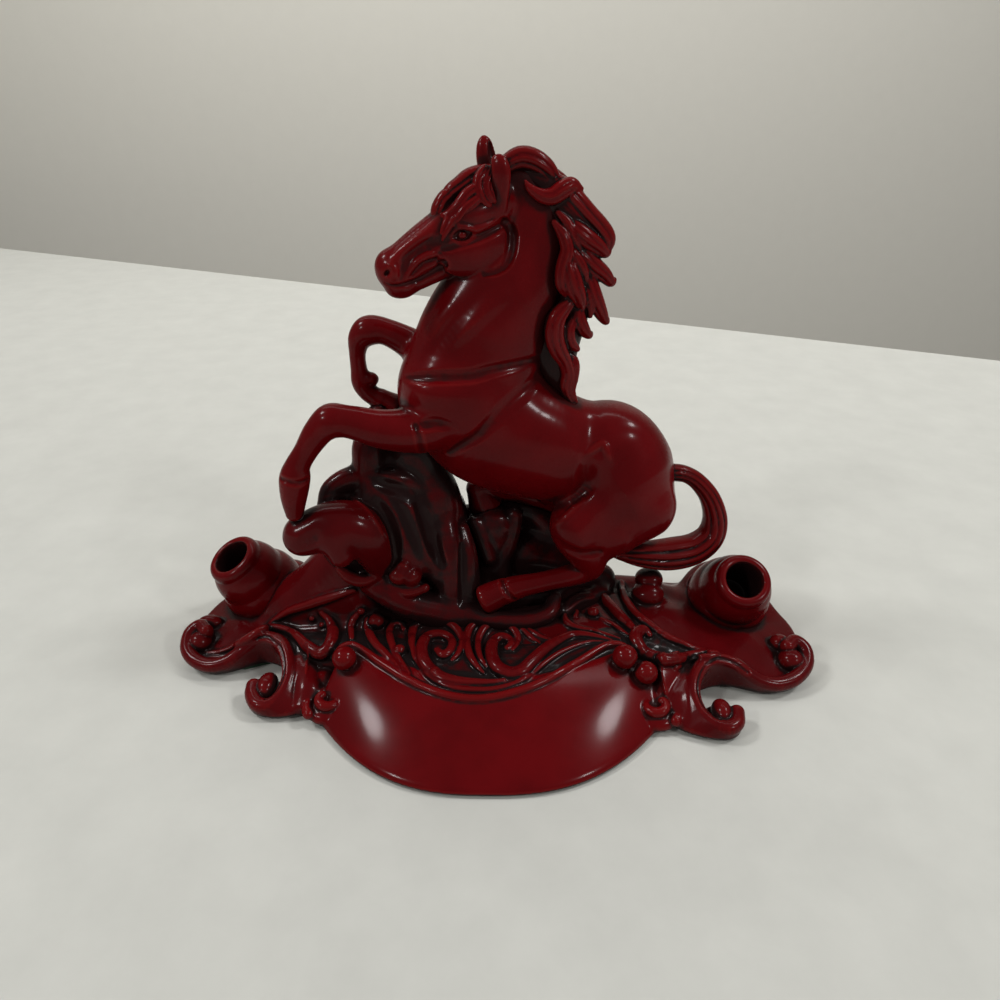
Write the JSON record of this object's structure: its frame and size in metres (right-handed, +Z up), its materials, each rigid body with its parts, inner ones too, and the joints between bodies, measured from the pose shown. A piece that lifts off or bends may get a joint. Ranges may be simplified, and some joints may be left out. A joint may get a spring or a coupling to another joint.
{
  "type": "horse figurine pen stand",
  "caption": "Desk pen stand in red lacquered resin: a rearing horse on a rock, over a scrolled base with a bare front cartouche and tilted pen cups.",
  "frame": {"origin": "on the table under the middle of the object's bounding box", "axes": "+X toward the viewer's right, +Y away from the cartouche, +Z up"},
  "size_m": [0.206, 0.0941, 0.1576],
  "materials": {
    "felt": "matte",
    "base_lacquer": "gloss",
    "panel_lacquer": "gloss",
    "frieze_lacquer": "gloss",
    "cup_lacquer": "gloss",
    "rock_lacquer": "gloss",
    "horse_lacquer": "gloss",
    "hair_lacquer": "gloss",
    "pin_steel": "brushed"
  },
  "bodies": {
    "root": {"felt_pad": "felt", "base_casting": "base_lacquer", "front_cartouche": "panel_lacquer", "scroll_frieze": "frieze_lacquer", "left_rim_scroll": "base_lacquer", "right_rim_scroll": "base_lacquer", "left_pen_cup": "cup_lacquer", "right_pen_cup": "cup_lacquer", "rock_casting": "rock_lacquer", "horse_body": "horse_lacquer", "left_foreleg": "horse_lacquer", "right_foreleg": "horse_lacquer", "left_hind_leg": "horse_lacquer", "right_hind_leg": "horse_lacquer", "horse_tail": "hair_lacquer", "horse_mane": "hair_lacquer", "horse_forelock": "hair_lacquer", "foreleg_pins": "pin_steel", "hind_leg_pin": "pin_steel", "tail_pin": "pin_steel", "hoof_pins": "pin_steel", "rock_dowels": "pin_steel"}
  },
  "joints": []
}
